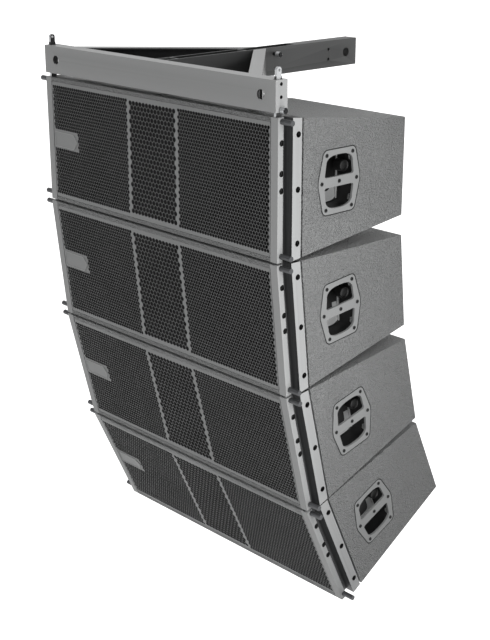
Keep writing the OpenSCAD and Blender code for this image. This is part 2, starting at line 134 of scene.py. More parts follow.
@dataclass(frozen=True)
class Finish:
    """One real finish, from its colour to the grain of its surface.

    The colour moves between light and dark with a fine grain and, more slowly, with handling.

    Attributes:
        light, dark: the ends of its colour, as sRGB hex.
        grain_mm, relief_mm: size and height of the grain.
        rough_spread: how far the roughness strays either way.
        blotch_mm: size of the slow change.
        worn: the colour that handling leaves on edges.
        wear: how much of it shows.
        follows: the attribute that the pattern follows, if not the piece's own coordinates.
    """

    name: str
    light: str
    dark: str
    roughness: float
    grain: Grain = Grain.SPECKLE
    grain_mm: float = 1.0
    relief_mm: float = 0.02
    metallic: float = 0.0
    ior: float = 1.5
    rough_spread: float = 0.06
    blotch_mm: float = 120.0
    worn: str = ""
    wear: float = 0.0
    follows: str = ""

    def material(self) -> bpy.types.Material:
        """Builds the finish once, as a node material on Object coordinates.

        Returns:
            The material, made on the first call and found again on later ones.
        """
        found = bpy.data.materials.get(self.name)
        if found:
            return found
        mat = bpy.data.materials.new(self.name)
        mat.use_nodes = True
        tree = mat.node_tree
        tree.nodes.clear()
        place = add_node(tree, "ShaderNodeTexCoord").outputs["Object"]
        if self.follows:
            place = add_node(tree, "ShaderNodeAttribute", attribute_name=self.follows).outputs["Vector"]
        if self.grain is Grain.STREAKS:
            # the streaks of painted reflection run along Z, the rail's length
            long = {"Vector": place, "Scale": (1, 1, 1 / STREAK_STRETCH)}
            place = add_node(tree, "ShaderNodeMapping", long).outputs[0]
        scale = 1 / (self.grain_mm * MM)
        fine = add_node(tree, "ShaderNodeTexNoise",
            {"Vector": place, "Scale": scale, "Detail": 3.0, "Roughness": 0.55})
        slow = add_node(tree, "ShaderNodeTexNoise",
            {"Vector": place, "Scale": 1 / (self.blotch_mm * MM), "Detail": 2.0, "Roughness": 0.5})
        both = add_node(tree, "ShaderNodeMath", {0: fine.outputs["Fac"], 1: slow.outputs["Fac"]}, operation="ADD")
        spread = add_node(tree, "ShaderNodeMapRange",
            {"Value": both.outputs[0], "From Min": NOISE_TWO[0], "From Max": NOISE_TWO[1],
             "To Min": 0.0, "To Max": 1.0})
        base = add_node(tree, "ShaderNodeMix",
            {0: spread.outputs[0], 6: linear(self.dark), 7: linear(self.light)}, data_type="RGBA").outputs[2]
        if self.wear > 0:
            # handling rubs the paint thin where the geometry turns sharply
            edge = add_node(tree, "ShaderNodeNewGeometry").outputs["Pointiness"]
            rub = add_node(tree, "ShaderNodeMapRange",
                {"Value": edge, "From Min": EDGE_TURN[0], "From Max": EDGE_TURN[1],
                 "To Min": 0.0, "To Max": self.wear})
            base = add_node(tree, "ShaderNodeMix",
                {0: rub.outputs[0], 6: base, 7: linear(self.worn)}, data_type="RGBA").outputs[2]
        rough = add_node(tree, "ShaderNodeMapRange",
            {"Value": slow.outputs["Fac"], "From Min": NOISE_ONE[0], "From Max": NOISE_ONE[1],
             "To Min": self.roughness - self.rough_spread, "To Max": self.roughness + self.rough_spread})
        height = fine.outputs["Fac"]
        if self.grain is Grain.ORANGE_PEEL:
            # sprayed polyurethane stands in rounded drops, so the height has broad tops and narrow dips
            drops = add_node(tree, "ShaderNodeTexVoronoi",
                {"Vector": place, "Scale": scale, "Smoothness": 0.8, "Randomness": 1.0}, feature="SMOOTH_F1")
            height = add_node(tree, "ShaderNodeMath",
                {0: fine.outputs["Fac"], 1: drops.outputs["Distance"]}, operation="SUBTRACT").outputs[0]
        bump = add_node(tree, "ShaderNodeBump",
            {"Height": height, "Distance": self.relief_mm * MM, "Strength": 1.0})
        shader = add_node(tree, "ShaderNodeBsdfPrincipled",
            {"Base Color": base, "Roughness": rough.outputs[0], "Normal": bump.outputs[0],
             "Metallic": self.metallic, "IOR": self.ior})
        add_node(tree, "ShaderNodeOutputMaterial", {"Surface": shader.outputs[0]})
        return mat


# Polyurethane sprayed on plywood: matt, with drops drawn 3.4 mm across, as coarse as needed to show
CABINET_PAINT = Finish("sprayed_polyurethane", "#8c8d8d", "#757676", 0.48, Grain.ORANGE_PEEL, 3.4, 6.0,
    worn="#9e9f9f", wear=0.35)
# Powder coat on the extruded rails and link bars: light grey and even, a little glossier than the cabinet
RAIL_COAT = Finish("light_powder_coat", "#a0a1a1", "#989999", 0.45, Grain.SPECKLE, 0.9, 0.03,
    worn="#c6c7c7", wear=0.4)
# Painted shade in the channel between post and flange: dark, with streaks along it that are painted reflections
PAINTED_CHANNEL_SHADE_AND_REFLECTION = Finish("painted_channel_shade_and_reflection", "#5e5f60", "#191a1a", 0.36, Grain.STREAKS, 4.5, 0.05, follows="own",
    blotch_mm=30)
# Painted shade inside the bolt holes, the hollow behind the flange, the sheet's holes and its upper and lower
# edges
HOLE_PAINTED_SHADE = Finish("hole_painted_shade", "#2a2a2a", "#181818", 0.6, Grain.SPECKLE, 1.0, 0.03)
# Powder coat over punched steel, whole on the sheet's plain bands
GRILLE_COAT = Finish("grille_powder_coat", "#9b9c9c", "#919292", 0.5, Grain.SPECKLE, 0.8, 0.03)
# The webs between the holes get a darker colour than the plain bands, though the coat is the same
GRILLE_WEB = Finish("grille_web", "#5b5c5c", "#535454", 0.55, Grain.SPECKLE, 0.8, 0.03)
# Open-cell foam behind the sheet: black, with no gloss at all
FOAM = Finish("black_acoustic_foam", "#070707", "#020202", 0.95, Grain.SPECKLE, 1.6, 0.5)
# Zinc-plated steel: metal, with a soft cloudy brightness
ZINC = Finish("zinc_plated_steel", "#c9cacb", "#b4b6b8", 0.42, Grain.SPECKLE, 0.9, 0.015, metallic=0.6)
# Grips and sleeves of the quick-release pins
PIN_SLEEVE = Finish("blackened_pin_sleeve", "#343536", "#202122", 0.4, Grain.SPECKLE, 0.5, 0.02, metallic=0.5)
# Turned steel hinge pins and links, darkened by use
PIN_STEEL = Finish("turned_steel", "#5d5e60", "#3f4042", 0.45, Grain.SPECKLE, 0.9, 0.02, metallic=0.5)
# Powder coat on the welded lifting frame
FRAME_COAT = Finish("frame_powder_coat", "#a2a3a3", "#979898", 0.45, Grain.SPECKLE, 0.9, 0.03,
    worn="#c4c5c5", wear=0.4)
# Painted shade on the spine: coloured far darker than the beam for the shade its sides lie in
SPINE_PAINTED_SHADE = Finish("spine_painted_shade", "#2b2c2c", "#212222", 0.5, Grain.SPECKLE, 0.9, 0.03,
    worn="#8f9090", wear=0.4)
# Painted shade on the arms' flanks, the beam's inside, back and holes, and the link bars beside the beam
FRAME_PAINTED_SHADE = Finish("frame_painted_shade", "#3a3a3b", "#2c2c2d", 0.42, Grain.SPECKLE, 0.9, 0.03)
# Painted die casting: fine-grained and slightly lighter than the cabinet
HANDLE_PAINT = Finish("painted_die_casting", "#929393", "#868787", 0.45, Grain.SPECKLE, 0.7, 0.03,
    worn="#acadad", wear=0.3)
# Painted light on the cup's floor below the grip bar, the same casting as the plate, and a painted highlight on
# the rib
CUP_FLOOR_PAINTED_LIGHT = Finish("cup_floor_painted_light", "#c8c9c9", "#a0a1a1", 0.5, Grain.SPECKLE, 0.9, 0.03)
# Painted shade on the walls of the cup and on its boss: near black, with a soft sheen
CUP_PAINTED_SHADE = Finish("cup_painted_shade", "#0c0c0c", "#040404", 0.5, Grain.SPECKLE, 0.5, 0.02)
# Chemically blackened socket screws
BLACK_OXIDE = Finish("black_oxide_screw", "#2a2b2b", "#161717", 0.42, Grain.SPECKLE, 0.4, 0.02, metallic=0.6)
# Treated paper cone: dull and finely mottled
CONE_PAPER = Finish("treated_paper", "#1d1c1b", "#121111", 0.75, Grain.SPECKLE, 1.2, 0.08)
# Sand-cast driver frame
BASKET_METAL = Finish("cast_driver_frame", "#55575a", "#3c3e40", 0.5, Grain.SPECKLE, 1.2, 0.05, metallic=0.5)
# Injection-moulded horn
HORN_PLASTIC = Finish("moulded_horn", "#1b1c1c", "#101111", 0.5, Grain.SPECKLE, 0.6, 0.03)
# Birch plywood stained black
BOARD = Finish("stained_plywood", "#241d17", "#14100d", 0.7, Grain.SPECKLE, 1.8, 0.06)
# Rubber strip in the groove round the handle
RUBBER = Finish("black_gasket_rubber", "#1a1b1b", "#0e0f0f", 0.7, Grain.SPECKLE, 0.5, 0.02)
# Glass-filled nylon of the cable sockets
SOCKET_NYLON = Finish("socket_nylon", "#1c1d20", "#101113", 0.42, Grain.SPECKLE, 0.5, 0.02)


# ---------------------------------------------------------------- mesh helpers


def new_piece(name: str, verts: np.ndarray, faces: Sequence[Sequence[int]], finish: Finish) -> bpy.types.Object:
    """Makes an object at the origin from arrays of points and faces.

    Args:
        name: the piece's name.
        verts: N by 3 points in metres, in the row frame.
        faces: point numbers of each face.
        finish: what covers it.

    Returns:
        The object, linked to the scene.
    """
    mesh = bpy.data.meshes.new(name)
    mesh.from_pydata(np.asarray(verts, float).reshape(-1, 3).tolist(), [], [list(map(int, f)) for f in faces])
    mesh.update()
    mesh.materials.append(finish.material())
    obj = bpy.data.objects.new(name, mesh)
    bpy.context.scene.collection.objects.link(obj)
    set_smooth(mesh, BLEND_NEW)
    return obj


def points_of(mesh: bpy.types.Mesh) -> np.ndarray:
    """Reads a mesh's points.

    Args:
        mesh: the mesh to read.

    Returns:
        N by 3 points.
    """
    co = np.zeros(len(mesh.vertices) * 3)
    mesh.vertices.foreach_get("co", co)
    return co.reshape(-1, 3)


def between(values: np.ndarray, low: float, high: float) -> np.ndarray:
    """Which values lie between two limits."""
    return (values > low) & (values < high)


def at_depth(outline: np.ndarray, depth: float) -> np.ndarray:
    """Sets a flat outline upright at a depth, as (first axis, depth, second axis)."""
    return np.column_stack([outline[:, 0], np.full(len(outline), depth), outline[:, 1]])


def round_edges(obj: bpy.types.Object, width_mm: float, angle: float) -> None:
    """Rounds a piece's sharp edges in two steps, with a live bevel.

    Args:
        obj: the piece.
        width_mm: width of the rounding, or 0 for none.
        angle: the turn in degrees past which an edge is rounded.
    """
    if not width_mm:
        return
    mod = obj.modifiers.new("edges", "BEVEL")
    mod.width = width_mm * MM
    mod.segments = 2
    mod.limit_method = "ANGLE"
    mod.angle_limit = math.radians(angle)
    mod.harden_normals = True


def set_smooth(mesh: bpy.types.Mesh, angle: float) -> None:
    """Shades a mesh smooth, and keeps edges sharper than an angle crisp.

    Args:
        mesh: the mesh to shade.
        angle: the sharpest blended turn, in degrees.
    """
    mesh.polygons.foreach_set("use_smooth", np.ones(len(mesh.polygons), bool))
    bm = bmesh.new()
    bm.from_mesh(mesh)
    for e in bm.edges:
        if len(e.link_faces) == 2:
            e.smooth = e.calc_face_angle(0.0) < math.radians(angle)
    bm.to_mesh(mesh)
    bm.free()


def revolve(profile: np.ndarray, turns: int) -> Shape:
    """Turns a closed profile of (radius, height) about the Z axis.

    A point at radius r and angle a goes to (r cos a, r sin a, height). The profile closes on itself.

    Args:
        profile: N by 2 radii and heights in metres, anticlockwise in the (radius, height) plane.
        turns: steps round the axis.

    Returns:
        The points and the four-sided faces.
    """
    a = np.linspace(0, 2 * math.pi, turns, endpoint=False)
    r, h = profile[:, 0], profile[:, 1]
    pts = np.stack([np.outer(np.cos(a), r), np.outer(np.sin(a), r), np.broadcast_to(h, (turns, len(h)))], 2)
    n = len(profile)
    i, j = np.meshgrid(np.arange(turns), np.arange(n), indexing="ij")
    i2, j2 = (i + 1) % turns, (j + 1) % n
    quads = np.stack([i * n + j, i2 * n + j, i2 * n + j2, i * n + j2], 2).reshape(-1, 4)
    return pts.reshape(-1, 3), quads.tolist()


def superellipse(half: Sequence[float], power: float, count: int) -> np.ndarray:
    """A closed outline: |x/a|^n + |z/b|^n = 1, sampled at equal steps of angle.

    Args:
        half: half the width a and half the height b.
        power: the exponent n, where 2 is an ellipse and more is squarer.
        count: the number of points.

    Returns:
        Count by 2 points, anticlockwise.
    """
    t = np.linspace(0, 2 * math.pi, count, endpoint=False)
    c, s = np.cos(t), np.sin(t)
    r = (np.abs(c) ** power + np.abs(s) ** power) ** (-1 / power)
    return np.stack([half[0] * r * c, half[1] * r * s], 1)


def clean_copy(node: str, name: str, finish: Finish, bevel_mm: float) -> bpy.types.Object:
    """Copies a CAD node, joins its loose triangles and rounds its sharp edges.

    Args:
        node: the CAD node to copy.
        name: the new piece's name.
        finish: what covers it.
        bevel_mm: width of the rounding on sharp edges.

    Returns:
        The new piece, which stands for the node.
    """
    mesh = frame["nodes"][node].data.copy()
    mesh.name = name
    bm = bmesh.new()
    bm.from_mesh(mesh)
    bmesh.ops.remove_doubles(bm, verts=bm.verts, dist=2e-6)
    bmesh.ops.dissolve_degenerate(bm, edges=bm.edges, dist=1e-6)
    bmesh.ops.dissolve_limit(bm, angle_limit=math.radians(0.6), verts=bm.verts, edges=bm.edges)
    bm.to_mesh(mesh)
    bm.free()
    mesh.materials.clear()
    mesh.materials.append(finish.material())
    set_smooth(mesh, BLEND_CAD)
    obj = bpy.data.objects.new(name, mesh)
    bpy.context.scene.collection.objects.link(obj)
    round_edges(obj, bevel_mm, BLEND_CAD)
    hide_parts(node)
    return obj


def paint_faces(obj: bpy.types.Object, finish: Finish,
                test: Callable[[np.ndarray, np.ndarray], np.ndarray]) -> None:
    """Gives some faces a second finish.

    Args:
        obj: the piece.
        finish: the finish of the chosen faces.
        test: takes N by 3 face centres and normals, and returns which faces are chosen.
    """
    mesh = obj.data
    mesh.materials.append(finish.material())
    count = len(mesh.polygons)
    centre, normal, index = np.zeros(count * 3), np.zeros(count * 3), np.zeros(count, np.int32)
    mesh.polygons.foreach_get("center", centre)
    mesh.polygons.foreach_get("normal", normal)
    mesh.polygons.foreach_get("material_index", index)
    chosen = test(centre.reshape(-1, 3), normal.reshape(-1, 3))
    index[chosen] = len(mesh.materials) - 1
    mesh.polygons.foreach_set("material_index", index)


def dress(node: str, body: str, finish: Finish, bevel_mm: float) -> bpy.types.Object:
    """Rounds the edges of a CAD node and makes it a riding piece.

    Args:
        node: the CAD node.
        body: the body it rides on.
        finish: what covers it.
        bevel_mm: width of the rounding.

    Returns:
        The piece.
    """
    obj = clean_copy(node, f"{node}_finished", finish, bevel_mm)
    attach(obj, body)
    log.info("dressed %s", node)
    return obj


# ---------------------------------------------------------------- the perforated sheet


@dataclass(frozen=True)
class HoleField:
    """A field of round holes in level rows, each second row set half a pitch along.

    Hole (i, j) is at x = left + pitch * i, plus half a pitch on odd rows, and z = top - row * j, where
    the top row is half the field above its middle. Sizes are in millimetres.
    """

    left: float
    columns: int
    rows: int
    pitch: float
    row: float
    hole_d: float
    middle: float
    sides: int = 10

    def centres(self) -> np.ndarray:
        """Works out where the holes are, leaving out the last of each odd row.

        Returns:
            N by 2 centres, in millimetres.
        """
        top = self.middle + (self.rows - 1) / 2 * self.row
        j, i = np.meshgrid(np.arange(self.rows), np.arange(self.columns), indexing="ij")
        odd = (j % 2) == 1
        keep = ~(odd & (i == self.columns - 1))
        x = self.left + self.pitch * (i + 0.5 * odd)
        return np.stack([x[keep], (top - self.row * j)[keep]], 1)

    def loops(self) -> np.ndarray:
        """Works out the holes' outlines.

        Corner k of a hole is at its centre plus half the diameter times (cos, sin) of 2 pi k / sides.

        Returns:
            Holes by sides by 2 points, in millimetres.
        """
        a = np.linspace(0, 2 * math.pi, self.sides, endpoint=False)
        ring = np.stack([np.cos(a), np.sin(a)], 1) * self.hole_d / 2
        return self.centres()[:, None, :] + ring[None, :, :]


def cut_plate(outline: np.ndarray, holes: Sequence[np.ndarray], near: float, far: float) -> Shape:
    """A flat plate with holes, as one closed solid.

    The face is the constrained triangulation of the outline and the hole loops, less the triangles whose
    three corners lie on one hole. The wall joins each loop at the near depth to its copy at the far depth.

    Args:
        outline: N by 2 points round the plate.
        holes: loops of 2-D points, each convex.
        near: depth of the face.
        far: depth of the back.

    Returns:
        Points as (first axis, depth, second axis), and the faces.
    """
    loops = [np.asarray(outline, float), *[np.asarray(h, float) for h in holes]]
    sizes = np.array([len(loop) for loop in loops])
    starts = np.concatenate([[0], np.cumsum(sizes)[:-1]])
    flat = np.concatenate(loops)
    owner = np.repeat(np.arange(len(loops)), sizes)
    here = np.arange(len(flat))
    local = here - starts[owner]
    after = starts[owner] + (local + 1) % sizes[owner]
    points, _, tris, *_ = delaunay_2d_cdt(
        [Vector(p) for p in flat.tolist()], np.stack([here, after], 1).tolist(), [], 1, 1e-6)
    tris = np.array([t for t in tris if len(t) == 3])
    who = owner[tris]
    in_hole = (who[:, 0] == who[:, 1]) & (who[:, 1] == who[:, 2]) & (who[:, 0] > 0)
    tris = tris[~in_hole]
    pts = np.array([tuple(p) for p in points])
    a, b, c = pts[tris[:, 0]], pts[tris[:, 1]], pts[tris[:, 2]]
    area = (b[:, 0] - a[:, 0]) * (c[:, 1] - a[:, 1]) - (b[:, 1] - a[:, 1]) * (c[:, 0] - a[:, 0])
    tris[area < 0] = tris[area < 0][:, ::-1]
    n = len(pts)
    walls = np.stack([here, after, after + n, here + n], 1)
    faces = [*tris.tolist(), *(tris[:, ::-1] + n).tolist(), *walls.tolist()]
    return np.concatenate([at_depth(pts, near), at_depth(pts, far)]), faces


def outward(obj: bpy.types.Object) -> bpy.types.Object:
    """Turns the faces of a closed mesh outwards.

    Args:
        obj: the piece, whose mesh is closed.

    Returns:
        The same piece.
    """
    bm = bmesh.new()
    bm.from_mesh(obj.data)
    bmesh.ops.remove_doubles(bm, verts=bm.verts, dist=1e-7)
    bmesh.ops.recalc_face_normals(bm, faces=bm.faces)
    bm.to_mesh(obj.data)
    bm.free()
    return obj


def loft(rings: Sequence[np.ndarray]) -> Shape:
    """Joins rings of equal length in order and closes both ends with a cap.

    Point k of ring i joins points k and k + 1 of ring i + 1.

    Args:
        rings: each N by 3.

    Returns:
        The points and the faces.
    """
    n = len(rings[0])
    i, k = np.meshgrid(np.arange(len(rings) - 1), np.arange(n), indexing="ij")
    k2 = (k + 1) % n
    quads = np.stack([i * n + k, i * n + k2, (i + 1) * n + k2, (i + 1) * n + k], 2).reshape(-1, 4)
    last = (len(rings) - 1) * n
    caps = [list(range(n))[::-1], list(range(last, last + n))]
    return np.concatenate(rings), [*quads.tolist(), *caps]


def rounded(corners: Sequence[Sequence[float]], radius: float | np.ndarray, steps: int = 8) -> np.ndarray:
    """Rounds the corners of a convex outline with arcs.

    Each arc touches both sides of its corner, with its centre on the bisector.

    Args:
        corners: the outline's corners, anticlockwise.
        radius: the arcs' radius, or one for each corner.
        steps: points on each arc.

    Returns:
        The rounded outline.
    """
    p = np.asarray(corners, float)
    before, after = np.roll(p, 1, 0) - p, np.roll(p, -1, 0) - p
    u = before / np.linalg.norm(before, axis=1, keepdims=True)
    v = after / np.linalg.norm(after, axis=1, keepdims=True)
    half = np.arccos(np.clip((u * v).sum(1), -1, 1)) / 2
    mid = (u + v) / np.linalg.norm(u + v, axis=1, keepdims=True)
    # a corner's arc never takes more than half of either side
    room = np.minimum(np.linalg.norm(before, axis=1), np.linalg.norm(after, axis=1)) * 0.499
    radius = np.minimum(np.broadcast_to(radius, half.shape), room * np.tan(half))
    centre = p + mid * (radius / np.sin(half))[:, None]
    start = p + u * (radius / np.tan(half))[:, None] - centre
    sweep = math.pi - 2 * half
    t = np.linspace(0, 1, steps)[None, :] * sweep[:, None]
    c, s = np.cos(t), np.sin(t)
    arc = np.stack([c * start[:, :1] - s * start[:, 1:], s * start[:, :1] + c * start[:, 1:]], 2)
    return (centre[:, None, :] + arc).reshape(-1, 2)


# ---------------------------------------------------------------- one cabinet


@dataclass
class Cabinet:
    """A wedge cabinet with its sheet, rails, handles and rigging, in its own tilted frame.

    Sizes are millimetres in the cabinet's frame: X right, Y back from the front corner, Z up from the top.

    Attributes:
        number: 1 for the top cabinet, counting down.
        panel_x: half the width over the side panels.
        pin: Y and Z of the hinge's axis.
        handle_y: Y of the handles' middle.
        sheet_half: half the sheet's width.
        sheet_top: Z of the sheet's upper edge.
        sheet_near: Y of the sheet's face.
        sheet_t, foam_t: thickness of the sheet and of the foam.
        badge_box: left, right, upper and lower edges of the badge.
        badge_point: how far the badge's point stands out.
        seat_margin: whole sheet left round the badge.
        channel_x: the rail's faces beyond this X can line the channel.
        channel_y: the channel's depths.
        flange_hollow: X and Y of the hollow and holes behind the rear flange.
        post_holes: X, Y and Z of the bolt holes in the post.
        tilt: the cabinet's turn about X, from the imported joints.
        pivot: the hinge's place in metres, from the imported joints.
    """

    number: int
    height: float = 283.5
    panel_x: float = 380.0
    pin: tuple[float, float] = (10.0, -9.5)
    handle_y: float = 158.0
    sheet_half: float = 349.5
    sheet_top: float = -11.5
    sheet_near: float = 0.5
    sheet_t: float = 1.5
    foam_t: float = 5.0
    badge_box: tuple[float, float, float, float] = (-346.0, -262.0, -122.0, -156.5)
    badge_point: float = 13.0
    seat_margin: float = 4.2
    channel_x: float = 356.5
    channel_y: tuple[float, float] = (18.2, 29.4)
    flange_hollow: tuple[tuple[float, float], ...] = ((356.9, 379.6), (32.5, 50.5))
    post_holes: tuple[tuple[float, float], ...] = ((361.5, 369.6), (3.8, 16.2), (-150.0, -40.0))
    tilt: float = field(init=False)
    pivot: np.ndarray = field(init=False)

    def __post_init__(self) -> None:
        """Reads the hinge's place and the tilt of the cone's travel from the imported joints."""
        joints = {j["name"]: j for j in frame["joints"]}
        self.pivot = np.array(joints[f"{self.body}_splay"]["pos_m"])
        axis = joints[f"{self.body}_cone_travel"]["axis"]
        self.tilt = math.atan2(axis[2], axis[1])

    @property
    def body(self) -> str:
        """The body's name."""
        return f"cab_{self.number}"

    @property
    def mid_z(self) -> float:
        """Half-way down the front."""
        return -self.height / 2

    def place(self, points: np.ndarray) -> np.ndarray:
        """Turns cabinet millimetres into metres in the row frame.

        A point is taken from the top pin, turned by the tilt about X, scaled and set on the hinge.

        Args:
            points: N by 3 points.

        Returns:
            N by 3 points in metres.
        """
        p = np.asarray(points, float).reshape(-1, 3) - [0, *self.pin]
        c, s = math.cos(self.tilt), math.sin(self.tilt)
        turned = np.stack([p[:, 0], c * p[:, 1] - s * p[:, 2], s * p[:, 1] + c * p[:, 2]], 1)
        return turned * MM + self.pivot

    def own(self, points: np.ndarray) -> np.ndarray:
        """Turns row-frame metres back into cabinet millimetres.

        Args:
            points: N by 3 points in metres.

        Returns:
            N by 3 points in the cabinet's frame.
        """
        p = (np.asarray(points, float) - self.pivot) / MM
        c, s = math.cos(self.tilt), math.sin(self.tilt)
        return np.stack([p[:, 0], c * p[:, 1] + s * p[:, 2], -s * p[:, 1] + c * p[:, 2]], 1) + [0, *self.pin]

    def fit(self, name: str, shape: Shape, finish: Finish,
            bevel_mm: float = 0.0) -> bpy.types.Object:
        """Places a shape on the cabinet and makes it a riding piece.

        Args:
            name: the piece's name after the cabinet's.
            shape: points in cabinet millimetres, and faces.
            finish: what covers it.
            bevel_mm: width of the rounding on sharp edges.

        Returns:
            The piece.
        """
        obj = outward(new_piece(f"{self.body}_{name}", self.place(shape[0]), shape[1], finish))
        round_edges(obj, bevel_mm, ROUND_NEW)
        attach(obj, self.body)
        log.info("made %s", obj.name)
        return obj

    def dress(self, part: str, finish: Finish, slot: str, bevel_mm: float, body: str = "") -> bpy.types.Object:
        """Dresses one of the cabinet's CAD nodes.

        Args:
            part: the node's name after the cabinet's.
            finish: what covers it.
            bevel_mm: width of the rounding.
            body: the body it rides on, if not the cabinet.

        Returns:
            The piece.
        """
        return dress(f"{self.body}_{part}", body or self.body, finish, bevel_mm)

    # -------- front

    def badge_outline(self) -> np.ndarray:
        """A blank tab, square at one end and with a blunt point at the other.

        Returns:
            The tab's outline as (X, Z) points, anticlockwise.
        """
        left, right, top, low = self.badge_box
        mid, neck = (top + low) / 2, right - self.badge_point
        return rounded([(left, low), (neck, low), (right, mid), (neck, top), (left, top)], 2.5, 5)

    def in_seat(self, x: np.ndarray, z: np.ndarray) -> np.ndarray:
        """Which points lie on the whole patch of sheet that carries the badge.

        Args:
            x: the points' X.
            z: their Z.

        Returns:
            True for each point on the patch.
        """
        tab = self.badge_outline()
        low, high = tab.min(0) - self.seat_margin, tab.max(0) + self.seat_margin
        return between(x, low[0], high[0]) & between(z, low[1], high[1])

    def hole_fields(self) -> list[HoleField]:
        """The fine fields before the woofers, and the coarse one before the horn.

        Returns:
            The right, left and middle fields.
        """
        right = HoleField(left=84.4, columns=34, rows=35, pitch=7.87, row=7.02, hole_d=7.3, middle=self.mid_z)
        left = replace(right, left=-right.left - (right.columns - 1) * right.pitch)
        centre = HoleField(left=-70.2, columns=14, rows=25, pitch=10.8, row=9.63, hole_d=10.2,
            middle=self.mid_z, sides=12)
        return [right, left, centre]

    def sheet(self) -> None:
        """The perforated sheet, with its corners turned and the badge's seat left whole."""
        low = -self.height - self.sheet_top
        w = self.sheet_half
        outline = rounded([(-w, low), (w, low), (w, self.sheet_top), (-w, self.sheet_top)], 2.0, 4)
        holes = []
        for spread in self.hole_fields():
            holes += list(spread.loops()[~self.in_seat(*spread.centres().T)])
        shape = cut_plate(outline, holes, self.sheet_near, self.sheet_near + self.sheet_t)
        obj = self.fit("perforated_sheet", shape, GRILLE_COAT)
        paint_faces(obj, GRILLE_WEB, self.between_holes)
        # painted shade on the hole walls and on the sheet's upper and lower edges
        paint_faces(obj, HOLE_PAINTED_SHADE, self.in_sheet_hole)
        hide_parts(f"{self.body}_grille")

    def between_holes(self, centre: np.ndarray, normal: np.ndarray) -> np.ndarray:
        """Which of the sheet's faces lie in the narrow webs between holes, and not in a plain band.

        Args:
            centre: N by 3 face centres.
            normal: N by 3 face normals.

        Returns:
            True for each face in a web.
        """
        p = self.own(centre)
        web = np.zeros(len(p), bool)
        for spread in self.hole_fields():
            c, edge = spread.centres(), spread.hole_d * 0.3
            low, high = c.min(0) - edge, c.max(0) + edge
            web |= between(p[:, 0], low[0], high[0]) & between(p[:, 2], low[1], high[1])
        return web & ~self.in_seat(p[:, 0], p[:, 2])

    def in_sheet_hole(self, centre: np.ndarray, normal: np.ndarray) -> np.ndarray:
        """Which of the sheet's faces are walls: those of its holes, and its upper and lower edges.

        Args:
            centre: N by 3 face centres.
            normal: N by 3 face normals.

        Returns:
            True for each wall.
        """
        p = self.own(centre)
        side, end, skin = 3, 8, 0.2
        inside = (np.abs(p[:, 0]) < self.sheet_half - side) & between(p[:, 2], end - self.height, -end)
        return inside & between(p[:, 1], self.sheet_near + skin, self.sheet_near + self.sheet_t - skin)

    def foam(self) -> None:
        """Foam behind the sheet: a pad whose face sinks and swells by a few tenths of a millimetre.

        Depth is the mean plus 0.4 sin(x / 11) sin(z / 9), in millimetres.
        """
        half_x, half_z = 336.0, self.height / 2 - 17
        nx, nz = 70, 28
        x, z = np.meshgrid(np.linspace(-half_x, half_x, nx), np.linspace(-half_z, half_z, nz))
        near = self.sheet_near + self.sheet_t + 0.6
        y = near + 0.4 * np.sin(x / 11) * np.sin(z / 9)
        front = np.stack([x, y, z + self.mid_z], 2).reshape(-1, 3)
        back = front.copy()
        back[:, 1] = near + self.foam_t - 1.2
        n = nx * nz
        i, j = np.meshgrid(np.arange(nz - 1), np.arange(nx - 1), indexing="ij")
        q = i * nx + j
        face = np.stack([q, q + 1, q + nx + 1, q + nx], 2).reshape(-1, 4)
        rim = np.concatenate([np.arange(nx), np.arange(2 * nx - 1, n, nx), np.arange(n - 2, n - nx - 1, -1),
            np.arange(n - 2 * nx, 0, -nx)])
        turn = np.roll(rim, -1)
        wall = np.stack([rim, turn, turn + n, rim + n], 1)
        shape = (np.concatenate([front, back]), [*face.tolist(), *(face[:, ::-1] + n).tolist(), *wall.tolist()])
        self.fit("foam", shape, FOAM)

    def badge(self) -> None:
        """The blank tab on the sheet, with a raised border round a sunk field."""
        outer = self.badge_outline()
        centre = outer.mean(0)
        inner = centre + (outer - centre) * [0.93, 0.85]
        crest_in, crest_out = inner + (inner - centre) * 0.015, outer - (outer - centre) * 0.02
        # how far each ring stands before the sheet: field, crest, crest, shoulder and foot
        steps = ((inner, 0.9), (crest_in, 1.7), (crest_out, 1.7), (outer, 1.2), (outer, -0.1))
        rings = [at_depth(outline, self.sheet_near - out) for outline, out in steps]
        self.fit("badge_tab", loft(rings), RAIL_COAT)

    # -------- sides

    def opening(self, sign: int) -> np.ndarray:
        """A domed finger opening about the handle's centre.

        The sides lean in from half-width 41 at the grip bar to 38, and the top is an arch: the outline
        beyond the sides follows |y / 38|^2.6 + |(z - 33) / 20|^2.6 = 1.

        Args:
            sign: 1 for the upper opening and -1 for the lower.

        Returns:
            The outline, anticlockwise.
        """
        bar, side, top, lean = 10.0, 33.0, 53.0, 38.0
        t = np.linspace(0, math.pi, 25)
        c, s = np.cos(t), np.sin(t)
        r = (np.abs(c) ** 2.6 + np.abs(s) ** 2.6) ** (-1 / 2.6)
        arch = np.stack([lean * r * c, side + (top - side) * r * s], 1)
        u = np.linspace(0, math.pi / 2, 6)[:-1]
        corner = np.stack([41 - 5 + 5 * np.sin(u), bar + 5 - 5 * np.cos(u)], 1)
        out = np.concatenate([corner, arch, corner[::-1] * [-1, 1]])
        return out if sign > 0 else out[::-1] * [1, -1]

    def plate_outline(self, margin: float = 0.0) -> np.ndarray:
        """The face plate's outline: two level ends, and sides that lean out to a short upright waist.

        The four end corners are rounded by 12, and the waist's corners by 18 at half-width 58.

        Args:
            margin: how far the outline is moved out.

        Returns:
            The outline, anticlockwise.
        """
        m = margin
        waist = 58 + m
        return rounded([(waist, -6), (waist, 6), (43.5 + m, 63.5 + m), (-43.5 - m, 63.5 + m), (-waist, 6),
            (-waist, -6), (-43.5 - m, -63.5 - m), (43.5 + m, -63.5 - m)],
            np.array([18, 18, 12, 12, 18, 18, 12, 12.0]) + m, 8)

